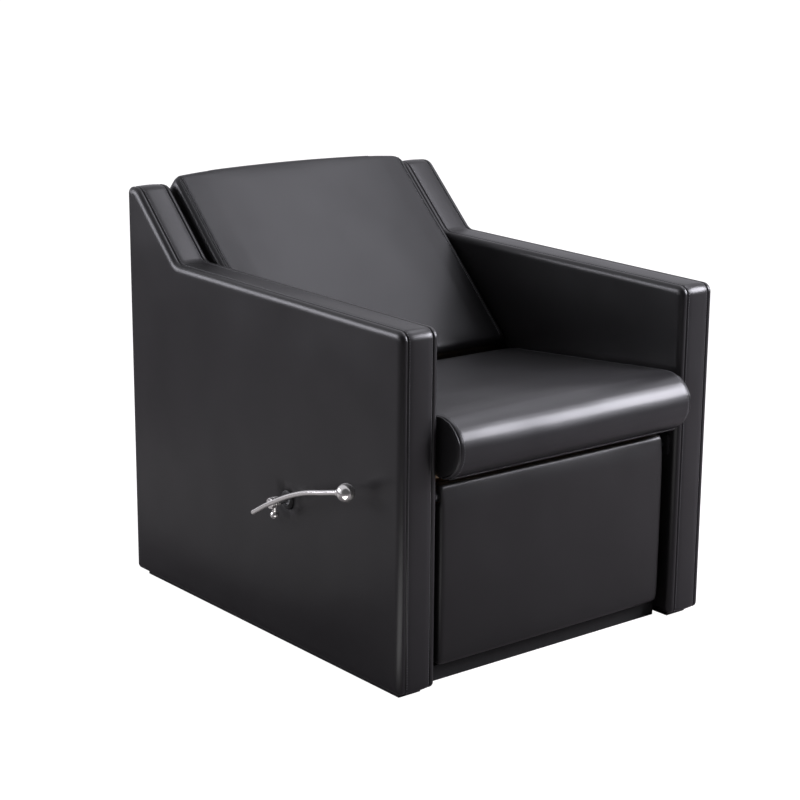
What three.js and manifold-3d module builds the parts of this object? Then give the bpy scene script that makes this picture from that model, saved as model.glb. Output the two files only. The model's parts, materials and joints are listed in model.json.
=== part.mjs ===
// An upholstered shampoo chair: two box arms carry the seat, a hinged leg rest
// and a reclining back. A chrome side lever turns a cross shaft whose cranks
// push the leg rest forward through a pair of rods.
//
// Millimetres, +Z up. The chair is drawn with X = 0 on its middle plane, Y = 0
// at the front of the arms and Z = 0 on the floor, facing -Y. "right" and
// "left" are the sitter's, so the lever is on the right, at -X.

import * as THREE from "three";
import { mergeVertices } from "three/addons/utils/BufferGeometryUtils.js";
import Module from "manifold-3d";

const wasm = await Module();
wasm.setup();

// ---- driving dimensions ----

const gap = 0.3; // between pieces that touch

// arms
const halfWidth = 340;
const armThickness = 74;
const depth = 786;
const skirtHeight = 10; // upholstery above the floor
const armTop = 594;
const knee = { y: 631, z: 605 }; // where the arm top turns up into the shoulder
const crest = { y: 756, z: 725 };
const armPadding = 10; // covering and foam on every face of an arm
const railWidth = 34; // timber inside the arms
const innerFace = halfWidth - armThickness;

// seat
const noseRadius = 55;
const nose = { y: 12, z: 402 };
const seatRear = { y: 424, z: 421 };
const seatBoard = { front: 25, rear: 440, underside: 347, thickness: 12 };
const seatRail = { height: 40, thickness: 30, front: 75, rear: 395 };

// leg rest
const legHinge = { y: 32, z: 316 };
const legPad = { halfWidth: 247, front: 10, rear: 40, bottom: 32, top: 338 };
const legBoard = { thickness: 12, top: 303 };
const hingeTubeRadius = 10;
const hingePinRadius = 6;

// lever and its linkage
const shaft = { y: 298, z: 262, radius: 8 };
const crankRadius = 90;
const crankLean = THREE.MathUtils.degToRad(25); // behind straight down, at rest
const linkPinRadius = 4;
const linkEyeRadius = 11;
const linkPlate = 5; // thickness of cranks, rods and leg rest arms
const crankNear = 212; // distance of the crank plates from the middle plane
const rodRadius = 4.5;
const handlePlane = -(halfWidth + 35);
const knobRadius = 15;
const handleRoute = [
  [346, 235],
  [298, 262],
  [214, 299],
  [150, 316],
  [93, 330],
];

// back
const backFoot = { y: 427, z: 430 }; // lower front edge of the back cushion
const backLean = THREE.MathUtils.degToRad(46.2);
const backHalfWidth = 259;
const backCushion = { thickness: 42, length: 455 };
const backBoard = { thickness: 12, length: 436, halfWidth: 252 };
const backCover = { thickness: 7, length: 428, halfWidth: 258 };
const backPivot = { y: 470, z: 340 };
const backBoltRadius = 5;

// front and rear of the base
const toeBoard = { front: 40, rear: 59.7, top: 26 };
const kickBoard = { front: 60, rear: 78, top: 140 };
const rearPanel = { top: 500, board: 12, cover: 20 };

// ---- solids ----

function toSolid(geometry) {
  const bare = geometry.clone();
  bare.deleteAttribute("normal");
  bare.deleteAttribute("uv");
  const merged = mergeVertices(bare, 1e-4);
  return new wasm.Manifold(
    new wasm.Mesh({
      numProp: 3,
      vertProperties: new Float32Array(merged.attributes.position.array),
      triVerts: new Uint32Array(merged.index.array),
    }),
  );
}

function toGeometry(solid) {
  const { vertProperties, triVerts } = solid.getMesh();
  const geometry = new THREE.BufferGeometry();
  geometry.setAttribute("position", new THREE.BufferAttribute(vertProperties, 3));
  geometry.setIndex(new THREE.BufferAttribute(triVerts, 1));
  geometry.computeVertexNormals();
  return geometry;
}

function cut(body, ...tools) {
  return toGeometry(tools.reduce((left, tool) => left.subtract(toSolid(tool)), toSolid(body)));
}

function join(...pieces) {
  return toGeometry(pieces.map(toSolid).reduce((sum, piece) => sum.add(piece)));
}

// A box given by its ranges along X, Y and Z.
function block([x0, x1], [y0, y1], [z0, z1]) {
  return new THREE.BoxGeometry(x1 - x0, y1 - y0, z1 - z0).translate(
    (x0 + x1) / 2,
    (y0 + y1) / 2,
    (z0 + z1) / 2,
  );
}

// A round bar along X.
function bar([x0, x1], { y, z }, radius, sides = 24) {
  return new THREE.CylinderGeometry(radius, radius, x1 - x0, sides)
    .rotateZ(-Math.PI / 2)
    .translate((x0 + x1) / 2, y, z);
}

// A side view, drawn in Y and Z, drawn out along X.
function slab([x0, x1], shape, curveSegments = 4) {
  const sideView = new THREE.Matrix4().makeBasis(
    new THREE.Vector3(0, 1, 0),
    new THREE.Vector3(0, 0, 1),
    new THREE.Vector3(1, 0, 0),
  );
  return new THREE.ExtrudeGeometry(shape, { depth: x1 - x0, bevelEnabled: false, curveSegments })
    .applyMatrix4(sideView)
    .translate(x0, 0, 0);
}

// A closed outline through corners [y, z, radius], each rounded by an arc.
function outline(corners) {
  const shape = new THREE.Shape();
  corners.forEach(([y, z, radius = 0], i) => {
    const corner = new THREE.Vector2(y, z);
    if (radius === 0) {
      if (i === 0) shape.moveTo(y, z);
      else shape.lineTo(y, z);
      return;
    }
    const towards = (other) => new THREE.Vector2(other[0], other[1]).sub(corner).normalize();
    const back = towards(corners.at(i - 1));
    const ahead = towards(corners[(i + 1) % corners.length]);
    const half = Math.acos(back.dot(ahead)) / 2;
    const reach = radius / Math.tan(half);
    const centre = back
      .clone()
      .add(ahead)
      .normalize()
      .multiplyScalar(radius / Math.sin(half))
      .add(corner);
    const angle = (side) => side.clone().multiplyScalar(reach).add(corner).sub(centre).angle();
    const clockwise = back.cross(ahead) > 0;
    shape.absarc(centre.x, centre.y, radius, angle(back), angle(ahead), clockwise);
  });
  return shape;
}

// The corners of an outline moved inwards, edge by edge. Edge i runs from
// corner i to the next, and the corners go round anticlockwise.
function inset(corners, distances) {
  const edges = corners.map(([y, z], i) => {
    const [yNext, zNext] = corners[(i + 1) % corners.length];
    const along = new THREE.Vector2(yNext - y, zNext - z).normalize();
    const inwards = new THREE.Vector2(-along.y, along.x);
    return { along, point: new THREE.Vector2(y, z).addScaledVector(inwards, distances[i]) };
  });
  return edges.map((edge, i) => {
    const before = edges.at(i - 1);
    const between = edge.point.clone().sub(before.point);
    const t = between.cross(edge.along) / before.along.cross(edge.along);
    const corner = before.point.clone().addScaledVector(before.along, t);
    return [corner.x, corner.y];
  });
}

// A flat link in side view: round eyes at both ends joined by a straight web.
function linkShape(from, to, eyeRadius, holeRadius) {
  const a = new THREE.Vector2(from.y, from.z);
  const b = new THREE.Vector2(to.y, to.z);
  const heading = b.clone().sub(a).angle();
  const shape = new THREE.Shape();
  shape.absarc(a.x, a.y, eyeRadius, heading + Math.PI / 2, heading - Math.PI / 2, false);
  shape.absarc(b.x, b.y, eyeRadius, heading - Math.PI / 2, heading + Math.PI / 2, false);
  [a, b].forEach((centre) => {
    const hole = new THREE.Path();
    hole.absarc(centre.x, centre.y, holeRadius, 0, 2 * Math.PI, true);
    shape.holes.push(hole);
  });
  return shape;
}

// Ranges along X on one side of the chair: sign is -1 on the right.
function sideRange(sign, near, far) {
  return sign > 0 ? [near, far] : [-far, -near];
}

const sides = [
  { side: "right", sign: -1 },
  { side: "left", sign: 1 },
];

// ---- finishes ----

const finishes = {
  leatherette: { color: 0x1b1a1b, roughness: 0.42, metalness: 0 },
  timber: { color: 0xb48a5a, roughness: 0.8, metalness: 0 },
  board: { color: 0x9c7647, roughness: 0.85, metalness: 0 },
  chrome: { color: 0xd9dbdd, roughness: 0.1, metalness: 1 },
  steel: { color: 0x8b8e92, roughness: 0.4, metalness: 1 },
  blackSteel: { color: 0x222326, roughness: 0.5, metalness: 0.7 },
  blackBoard: { color: 0x151515, roughness: 0.7, metalness: 0 },
  runner: { color: 0x111111, roughness: 0.65, metalness: 0 },
  bearing: { color: 0xdedbd2, roughness: 0.5, metalness: 0 },
};

function piece(group, name, finish, geometry) {
  const mesh = new THREE.Mesh(geometry, new THREE.MeshStandardMaterial(finishes[finish]));
  mesh.name = name;
  group.add(mesh);
}

// ---- arms ----

const armCorners = [
  [0, skirtHeight, 8],
  [depth, skirtHeight, 8],
  [depth, crest.z, 12],
  [crest.y, crest.z, 25],
  [knee.y, knee.z, 25],
  [0, armTop, 16],
];

// Distances by which the arm outline shrinks: the bottom edge comes first.
const insetAll = (amount, bottom) => [bottom, amount, amount, amount, amount, amount];

function armTimbers() {
  const outer = inset(armCorners, insetAll(armPadding + gap, 0));
  const inner = inset(armCorners, insetAll(armPadding + gap + railWidth, railWidth));
  const [frontFoot, rearFoot, crestRear, crestFront, kneeOuter, frontTop] = outer;
  const [frontFootIn, rearFootIn, , , kneeIn, frontTopIn] = inner;
  // The crest is narrower than two rails, so the shoulder and the rear post meet in one corner.
  const rearLine = rearFootIn[0];
  const shoulderRun = new THREE.Vector2(crest.y - knee.y, crest.z - knee.z).normalize();
  const apex = [rearLine, kneeIn[1] + ((rearLine - kneeIn[0]) * shoulderRun.y) / shoulderRun.x];
  return {
    front_post: [frontFoot, frontFootIn, frontTopIn, frontTop],
    top_rail: [frontTop, frontTopIn, kneeIn, kneeOuter],
    shoulder_rail: [kneeOuter, kneeIn, apex, crestRear, crestFront],
    rear_post: [crestRear, apex, rearFootIn, rearFoot],
    bottom_rail: [rearFoot, rearFootIn, frontFootIn, frontFoot],
  };
}

// Half the gap comes off every edge of a timber, so that its mitres stay apart.
function timberShape(corners) {
  return outline(inset(corners, corners.map(() => gap / 2)));
}

function buildArm(chair, side, sign) {
  const shaftHole = bar([-halfWidth - 5, -innerFace + 5], shaft, shaft.radius + 2);
  const panel = (near, far) => {
    const plain = slab(sideRange(sign, near, far), outline(armCorners));
    return sign < 0 ? cut(plain, shaftHole) : plain;
  };
  const outerPanel = panel(halfWidth - armPadding, halfWidth);
  piece(chair, `${side}_arm_outer_panel`, "leatherette", outerPanel);
  const innerPanel = panel(innerFace, innerFace + armPadding);
  piece(chair, `${side}_arm_inner_panel`, "leatherette", innerPanel);

  const between = [innerFace + armPadding + gap, halfWidth - armPadding - gap];
  const openBelow = inset(armCorners, insetAll(armPadding, -armPadding));
  const boxing = cut(
    slab(sideRange(sign, ...between), outline(armCorners)),
    slab(sideRange(sign, innerFace, halfWidth), outline(openBelow)),
  );
  piece(chair, `${side}_arm_boxing`, "leatherette", boxing);

  for (const [name, corners] of Object.entries(armTimbers())) {
    const timber = slab(sideRange(sign, ...between), timberShape(corners));
    piece(chair, `${side}_arm_${name}`, "timber", timber);
  }

  const runner = block(
    sideRange(sign, innerFace + 15, halfWidth - 15),
    [20, depth - 20],
    [0, skirtHeight - gap],
  );
  piece(chair, `${side}_runner`, "runner", runner);
}

// ---- seat ----

function buildSeat(chair) {
  const boardTop = seatBoard.underside + seatBoard.thickness;
  const profile = new THREE.Shape();
  profile.moveTo(nose.y, nose.z - noseRadius);
  profile.absarc(nose.y, nose.z, noseRadius, -Math.PI / 2, Math.PI / 2, true);
  profile.lineTo(seatRear.y, seatRear.z);
  profile.lineTo(seatRear.y, boardTop + gap);
  profile.lineTo(seatBoard.front - gap, boardTop + gap);
  profile.lineTo(seatBoard.front - gap, nose.z - noseRadius);
  const cushionHalf = innerFace - 3;
  piece(chair, "seat_cushion", "leatherette", slab([-cushionHalf, cushionHalf], profile, 8));

  const inside = innerFace - gap;
  const board = block(
    [-cushionHalf + 1, cushionHalf - 1],
    [seatBoard.front, seatBoard.rear],
    [seatBoard.underside, boardTop],
  );
  piece(chair, "seat_board", "board", board);

  const railTop = seatBoard.underside - gap;
  const railZ = [railTop - seatRail.height, railTop];
  for (const [name, y] of [
    ["seat_front_rail", seatRail.front],
    ["seat_rear_rail", seatRail.rear],
  ]) {
    const rail = block([-inside, inside], [y, y + seatRail.thickness], railZ);
    piece(chair, name, "timber", rail);
  }
  const cleatY = [seatRail.front + seatRail.thickness + gap, seatRail.rear - gap];
  const cleatHeight = 28;
  const cleatWidth = 24;
  for (const { side, sign } of sides) {
    const cleat = block(
      sideRange(sign, inside - cleatWidth, inside),
      cleatY,
      [railTop - cleatHeight, railTop],
    );
    piece(chair, `${side}_seat_cleat`, "timber", cleat);
  }
}

// ---- front and rear of the base ----

function buildBase(chair) {
  const inside = innerFace - gap;
  const across = [-inside, inside];
  const toe = block(across, [toeBoard.front, toeBoard.rear], [0, toeBoard.top]);
  piece(chair, "toe_board", "blackBoard", toe);
  const kick = block(across, [kickBoard.front, kickBoard.rear], [0, kickBoard.top]);
  piece(chair, "kick_board", "blackBoard", kick);

  const coverFront = depth - rearPanel.cover;
  const boardRear = coverFront - gap;
  const rearBoard = block(
    across,
    [boardRear - rearPanel.board, boardRear],
    [skirtHeight, rearPanel.top - 10],
  );
  piece(chair, "rear_panel_board", "board", rearBoard);
  const rearCover = slab(
    across,
    outline([
      [coverFront, skirtHeight],
      [depth, skirtHeight],
      [depth, rearPanel.top, 8],
      [coverFront, rearPanel.top, 8],
    ]),
  );
  piece(chair, "rear_panel_cover", "leatherette", rearCover);
}

// ---- leg rest ----

const crankOffset = {
  y: crankRadius * Math.sin(crankLean),
  z: -crankRadius * Math.cos(crankLean),
};
const legLinkPin = { y: legHinge.y + crankOffset.y, z: legHinge.z + crankOffset.z };
const crankPin = { y: shaft.y + crankOffset.y, z: shaft.z + crankOffset.z };
const legBoardRear = legPad.rear + gap + legBoard.thickness;

function legPadGeometry() {
  const grooveFront = legHinge.y - hingeTubeRadius - 0.5;
  const grooveTop = legHinge.z + hingeTubeRadius + 0.7;
  const grooveBottom = legBoard.top;
  const profile = outline([
    [legPad.front, legPad.bottom, 8],
    [legPad.rear, legPad.bottom, 4],
    [legPad.rear, grooveBottom],
    [grooveFront, grooveBottom],
    [grooveFront, grooveTop],
    [legPad.rear, grooveTop],
    [legPad.rear, legPad.top, 5],
    [legPad.front, legPad.top, 8],
  ]);
  return slab([-legPad.halfWidth, legPad.halfWidth], profile);
}

// A steel leaf behind the board: it hooks forward over the board to meet the
// hinge tube, and carries the eye that the push rod drives.
function legArmGeometry(sign) {
  const across = sideRange(sign, crankNear, crankNear + linkPlate);
  const leafFront = legBoardRear + gap;
  const leafRear = leafFront + 11;
  const leafBottom = 150;
  const hookTop = legHinge.z + 6;
  const leaf = slab(
    across,
    outline([
      [leafFront, leafBottom, 3],
      [leafRear, leafBottom, 3],
      [leafRear, hookTop, 6],
      [legHinge.y, hookTop],
      [legHinge.y, legBoard.top + gap],
      [leafFront, legBoard.top + gap],
    ]),
  );
  const eye = bar(across, legLinkPin, linkEyeRadius);
  const tubeSpace = bar(sideRange(sign, 0, halfWidth), legHinge, hingeTubeRadius + gap, 32);
  const pinHole = bar(sideRange(sign, 0, halfWidth), legLinkPin, linkPinRadius + 0.4);
  return cut(join(leaf, eye), tubeSpace, pinHole);
}

// A pin that starts outside a plate and runs inwards through the plate and
// the link beside it, with a flat head at its outer end.
function linkPinGeometry(sign, centre) {
  const headNear = crankNear + linkPlate + gap;
  return join(
    bar(sideRange(sign, headNear, headNear + 3), centre, linkPinRadius + 3),
    bar(sideRange(sign, crankNear - linkPlate - 4, headNear + 1), centre, linkPinRadius),
  );
}

function buildLegRest(legRest) {
  piece(legRest, "legrest_pad", "leatherette", legPadGeometry());
  const board = block(
    [-legPad.halfWidth + 3, legPad.halfWidth - 3],
    [legPad.rear + gap, legBoardRear],
    [legPad.bottom + 2, legBoard.top],
  );
  piece(legRest, "legrest_board", "board", board);

  const tubeHalf = legPad.halfWidth + 5;
  const tube = cut(
    bar([-tubeHalf, tubeHalf], legHinge, hingeTubeRadius, 32),
    bar([-tubeHalf - 1, tubeHalf + 1], legHinge, hingePinRadius + 0.5),
  );
  piece(legRest, "legrest_hinge_tube", "steel", tube);

  for (const { side, sign } of sides) {
    piece(legRest, `${side}_legrest_arm`, "blackSteel", legArmGeometry(sign));
    piece(legRest, `${side}_legrest_pin`, "steel", linkPinGeometry(sign, legLinkPin));
  }
}

// A plate on the inner face of each arm, with the stub that the tube turns on.
function buildLegBrackets(chair) {
  const plateNear = innerFace - gap - 4;
  for (const { side, sign } of sides) {
    const plate = slab(
      sideRange(sign, plateNear, innerFace - gap),
      outline([
        [legHinge.y - 16, legHinge.z - 18, 6],
        [legHinge.y + 40, legHinge.z - 18, 6],
        [legHinge.y + 40, legHinge.z + 18, 6],
        [legHinge.y - 16, legHinge.z + 18, 6],
      ]),
    );
    const stub = bar(sideRange(sign, plateNear - 26, plateNear + 1), legHinge, hingePinRadius);
    piece(chair, `${side}_legrest_bracket`, "blackSteel", join(plate, stub));
  }
}

// ---- lever and linkage ----

const handleCurve = new THREE.CatmullRomCurve3(
  handleRoute.map(([y, z]) => new THREE.Vector3(handlePlane, y, z)),
);

// A round bar along the handle's curve.
function handleBar(radius, segments = 5) {
  const section = new THREE.Shape().absarc(0, 0, radius, 0, 2 * Math.PI, false);
  return new THREE.ExtrudeGeometry(section, {
    extrudePath: handleCurve,
    steps: 24,
    curveSegments: segments,
    bevelEnabled: false,
  });
}

const knobCentre = { y: handleRoute.at(-1)[0], z: handleRoute.at(-1)[1] };
const spigotRadius = 5;
const hubRadius = 9.5;
const hubRange = [handlePlane - 2, handlePlane + 15];
const screwPlane = handlePlane + 9;
const spigotEnd = handlePlane + rodRadius + 3 * gap; // just clear of the rod

function shaftGeometry() {
  return join(
    bar([-halfWidth - 1, innerFace - 4], shaft, shaft.radius, 32),
    bar([spigotEnd, -halfWidth], shaft, spigotRadius),
  );
}

function hubGeometry() {
  const spigotBore = bar([spigotEnd - gap, 0], shaft, spigotRadius + gap);
  const screwBore = screwRod(hubRadius + 5, 3 + gap);
  const rodBore = handleBar(rodRadius + gap + 0.1);
  return cut(bar(hubRange, shaft, hubRadius, 32), rodBore, spigotBore, screwBore);
}

// A bar straight down from the spigot, which the clamp screw and its bore share.
function screwRod(reach, radius) {
  const start = spigotRadius + 2 * gap;
  return new THREE.CylinderGeometry(radius, radius, reach - start, 20)
    .rotateX(Math.PI / 2)
    .translate(screwPlane, shaft.y, shaft.z - (start + reach) / 2);
}

function clampScrewGeometry() {
  const headRadius = 7.5;
  const headDrop = 21;
  const head = new THREE.SphereGeometry(headRadius, 24, 14)
    .rotateX(Math.PI / 2)
    .translate(screwPlane, shaft.y, shaft.z - headDrop);
  return join(screwRod(headDrop, 3), head);
}

function knobGeometry() {
  const ball = new THREE.SphereGeometry(knobRadius, 32, 20)
    .rotateY(Math.PI / 2)
    .translate(handlePlane, knobCentre.y, knobCentre.z);
  return cut(ball, handleBar(rodRadius + gap + 0.1));
}

function handleRodGeometry() {
  // The rod stops short of the end of its bore in the knob.
  const stop = block(
    [handlePlane - 20, handlePlane + 20],
    [knobCentre.y - 20, knobCentre.y + 0.5],
    [knobCentre.z - 20, knobCentre.z + 20],
  );
  return cut(handleBar(rodRadius), stop);
}

function buildLever(lever) {
  piece(lever, "lever_shaft", "steel", shaftGeometry());
  piece(lever, "lever_hub", "chrome", hubGeometry());
  piece(lever, "lever_rod", "chrome", handleRodGeometry());
  piece(lever, "lever_knob", "chrome", knobGeometry());
  piece(lever, "lever_clamp_screw", "chrome", clampScrewGeometry());

  for (const { side, sign } of sides) {
    const across = sideRange(sign, crankNear, crankNear + linkPlate);
    const boss = bar(across, shaft, shaft.radius + 8);
    const plate = slab(across, linkShape(shaft, crankPin, linkEyeRadius, linkPinRadius + 0.4));
    const shaftSpace = bar(sideRange(sign, 0, halfWidth), shaft, shaft.radius + gap, 32);
    piece(lever, `${side}_crank`, "blackSteel", cut(join(boss, plate), shaftSpace));
    piece(lever, `${side}_crank_pin`, "steel", linkPinGeometry(sign, crankPin));
  }
}

function buildPushRods(pushRods) {
  for (const { side, sign } of sides) {
    const across = sideRange(sign, crankNear - linkPlate - 1, crankNear - 1);
    const shape = linkShape(crankPin, legLinkPin, linkEyeRadius - 1, linkPinRadius + 0.45);
    piece(pushRods, `${side}_push_rod`, "blackSteel", slab(across, shape, 8));
  }
}

// Flanged bearings on the inner faces of the arms, and the plate outside.
function buildShaftBearings(chair) {
  const flangeNear = innerFace - gap - 5;
  for (const { side, sign } of sides) {
    const housing = join(
      bar(sideRange(sign, flangeNear, innerFace - gap), shaft, 24, 32),
      bar(sideRange(sign, flangeNear - 10, flangeNear + 1), shaft, 15, 32),
    );
    const bore = bar(sideRange(sign, 0, halfWidth), shaft, shaft.radius + gap, 32);
    piece(chair, `${side}_shaft_bearing`, "bearing", cut(housing, bore));
  }
  const plate = bar([-halfWidth - 3, -halfWidth - gap], shaft, 16, 40);
  const hole = bar([-halfWidth - 5, -halfWidth], shaft, shaft.radius + 1, 32);
  piece(chair, "lever_escutcheon", "runner", cut(plate, hole));
}

// ---- back ----

// The back is drawn in its own frame: Y runs into it from its front face and
// Z runs up its slope from its lower front edge.
function toBackFrame({ y, z }) {
  const v = new THREE.Vector2(y - backFoot.y, z - backFoot.z).rotateAround(
    new THREE.Vector2(),
    backLean,
  );
  return { y: v.x, z: v.y };
}

function buildBack(back) {
  const cushion = slab(
    [-backHalfWidth, backHalfWidth],
    outline([
      [0, 0, 12],
      [backCushion.thickness, 0, 4],
      [backCushion.thickness, backCushion.length, 6],
      [0, backCushion.length, 14],
    ]),
  );
  piece(back, "back_cushion", "leatherette", cushion);

  const boardFront = backCushion.thickness + gap;
  const boardRear = boardFront + backBoard.thickness;
  const board = block(
    [-backBoard.halfWidth, backBoard.halfWidth],
    [boardFront, boardRear],
    [4, backBoard.length],
  );
  piece(back, "back_board", "board", board);
  const coverFront = boardRear + gap;
  const cover = block(
    [-backCover.halfWidth, backCover.halfWidth],
    [coverFront, coverFront + backCover.thickness],
    [4, backCover.length],
  );
  piece(back, "back_rear_cover", "leatherette", cover);

  const pivot = toBackFrame(backPivot);
  const strapNear = backBoard.halfWidth + 1;
  const strapFar = strapNear + 4.5;
  for (const { side, sign } of sides) {
    const across = sideRange(sign, strapNear, strapFar);
    const leaf = slab(
      across,
      outline([
        [boardFront, -10],
        [pivot.y - 6, pivot.z - 14],
        [pivot.y + 14, pivot.z + 6],
        [boardRear, 3],
        [boardRear, 180, 4],
        [boardFront, 180, 4],
      ]),
    );
    const eye = bar(across, pivot, 16);
    const hole = bar(sideRange(sign, 0, halfWidth), pivot, backBoltRadius + 0.4);
    piece(back, `${side}_back_strap`, "blackSteel", cut(join(leaf, eye), hole));
    const bolt = join(
      bar(sideRange(sign, strapNear - gap - 6, strapNear - gap), pivot, 9, 6),
      bar(sideRange(sign, strapNear - gap - 1, innerFace - 2 * gap), pivot, backBoltRadius),
    );
    piece(back, `${side}_back_pivot_bolt`, "steel", bolt);
  }
}

function buildBackBrackets(chair) {
  const near = innerFace - gap - 6;
  for (const { side, sign } of sides) {
    const plate = slab(
      sideRange(sign, near, innerFace - gap),
      outline([
        [backPivot.y - 26, backPivot.z - 50, 8],
        [backPivot.y + 26, backPivot.z - 50, 8],
        [backPivot.y + 22, backPivot.z + 20, 18],
        [backPivot.y - 22, backPivot.z + 20, 18],
      ]),
    );
    const hole = bar(sideRange(sign, 0, halfWidth), backPivot, backBoltRadius + 0.4);
    piece(chair, `${side}_back_bracket`, "blackSteel", cut(plate, hole));
  }
}

// ---- assembly ----

const chair = new THREE.Group();
for (const { side, sign } of sides) buildArm(chair, side, sign);
buildSeat(chair);
buildBase(chair);
buildLegBrackets(chair);
buildShaftBearings(chair);
buildBackBrackets(chair);

const legRest = new THREE.Group();
buildLegRest(legRest);

const lever = new THREE.Group();
buildLever(lever);

const pushRods = new THREE.Group();
buildPushRods(pushRods);

const back = new THREE.Group();
back.position.set(0, backFoot.y, backFoot.z);
back.rotation.x = -backLean;
buildBack(back);

// The part's origin is on the floor, under the middle of its footprint.
const knobReach = -handlePlane + knobRadius;
const seatFront = nose.y - noseRadius;
const assembly = new THREE.Group();
assembly.add(chair, legRest, lever, pushRods, back);
assembly.position.set((knobReach - halfWidth) / 2, -(depth + seatFront) / 2, 0);

const group = new THREE.Group();
group.add(assembly);

export default group;
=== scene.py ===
import json
import math

import bmesh
import bpy
from mathutils import Matrix, Vector, noise
from mathutils.bvhtree import BVHTree


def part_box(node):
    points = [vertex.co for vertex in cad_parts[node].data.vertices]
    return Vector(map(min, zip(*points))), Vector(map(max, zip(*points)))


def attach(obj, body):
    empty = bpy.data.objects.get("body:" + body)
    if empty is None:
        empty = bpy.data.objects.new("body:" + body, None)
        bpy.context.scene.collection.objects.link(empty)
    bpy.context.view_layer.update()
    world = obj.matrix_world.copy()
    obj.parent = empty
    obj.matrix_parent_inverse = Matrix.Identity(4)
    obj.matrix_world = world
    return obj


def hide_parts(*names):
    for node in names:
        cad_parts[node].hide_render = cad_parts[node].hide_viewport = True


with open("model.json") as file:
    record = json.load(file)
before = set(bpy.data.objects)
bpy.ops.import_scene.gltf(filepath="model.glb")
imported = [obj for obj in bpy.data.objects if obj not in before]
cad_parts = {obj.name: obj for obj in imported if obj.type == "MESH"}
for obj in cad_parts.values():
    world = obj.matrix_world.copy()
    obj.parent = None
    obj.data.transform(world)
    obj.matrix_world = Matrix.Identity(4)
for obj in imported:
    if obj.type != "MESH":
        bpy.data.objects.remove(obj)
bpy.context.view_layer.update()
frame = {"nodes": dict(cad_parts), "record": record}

nodes = frame["nodes"]
scene = bpy.context.scene

# ---- the chair's own frame ----
# Pieces are modelled in millimetres from the front of the arms, the middle of the chair and the floor,
# and moved into the shared frame when they are finished. The sitter's right is at -X.

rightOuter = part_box("right_arm_outer_panel")
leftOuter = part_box("left_arm_outer_panel")
middleX = (rightOuter[0][0] + leftOuter[1][0]) / 2
frontY = rightOuter[0][1]
toFrame = Matrix.Translation((middleX, frontY, 0)) @ Matrix.Scale(0.001, 4)
toChair = toFrame.inverted()


def nodeBox(node):  # a CAD node's corners in the chair's own frame
    low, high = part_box(node)
    return toChair @ Vector(low), toChair @ Vector(high)


armLow, armHigh = nodeBox("right_arm_outer_panel")
arm = {
    "halfWidth": -armLow.x,
    "innerFace": -nodeBox("right_arm_inner_panel")[1].x,
    "depth": armHigh.y,
    "skirt": armLow.z,
    "crest": armHigh.z,
    "frontTop": 594,
    "knee": (631, 605),  # where the top turns up into the shoulder
    "crestFront": 756,
    "rounding": {"foot": 9, "rearTop": 12, "crest": 25, "knee": 25, "frontTop": 16},
}

# ---- node helpers ----


def newNode(tree, kind, values=None, **settings):
    node = tree.nodes.new(kind)
    for name, value in settings.items():
        setattr(node, name, value)
    for socket, value in (values or {}).items():
        node.inputs[socket].default_value = value
    return node


def join(tree, *pairs):
    for start, end in pairs:
        tree.links.new(start, end)


def newGroup(name, inputs, outputs):
    tree = bpy.data.node_groups.new(name, "ShaderNodeTree")
    for label, kind, value in inputs:
        socket = tree.interface.new_socket(label, in_out="INPUT", socket_type=kind)
        if value is not None:
            socket.default_value = value
    for label, kind in outputs:
        tree.interface.new_socket(label, in_out="OUTPUT", socket_type=kind)
    return tree, tree.nodes.new("NodeGroupInput"), tree.nodes.new("NodeGroupOutput")


def newMaterial(name, values):
    material = bpy.data.materials.new(name)
    material.use_nodes = True
    tree = material.node_tree
    shader = tree.nodes["Principled BSDF"]
    for socket, value in values.items():
        shader.inputs[socket].default_value = value
    material.diffuse_color = values.get("Base Color", (0.5, 0.5, 0.5, 1))
    return material, tree, shader


def placeGroup(tree, group, values):
    node = tree.nodes.new("ShaderNodeGroup")
    node.node_tree = group
    for socket, value in values.items():
        node.inputs[socket].default_value = value
    place = tree.nodes.new("ShaderNodeTexCoord")
    tree.links.new(place.outputs["Object"], node.inputs["Vector"])
    return node


def mixTone(tree, factor, dark, light):
    mix = newNode(tree, "ShaderNodeMix", data_type="RGBA")
    mix.inputs["A"].default_value = dark
    mix.inputs["B"].default_value = light
    tree.links.new(factor, mix.inputs["Factor"])
    return mix.outputs["Result"]


def spread(tree, factor, low, high):
    ranged = newNode(tree, "ShaderNodeMapRange", {"To Min": low, "To Max": high})
    tree.links.new(factor, ranged.inputs["Value"])
    return ranged.outputs["Result"]


def bump(tree, height, distance, strength, under=None):
    node = newNode(tree, "ShaderNodeBump", {"Distance": distance, "Strength": strength})
    tree.links.new(height, node.inputs["Height"])
    if under:
        tree.links.new(under, node.inputs["Normal"])
    return node.outputs["Normal"]


# ---- shared effects ----


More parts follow.
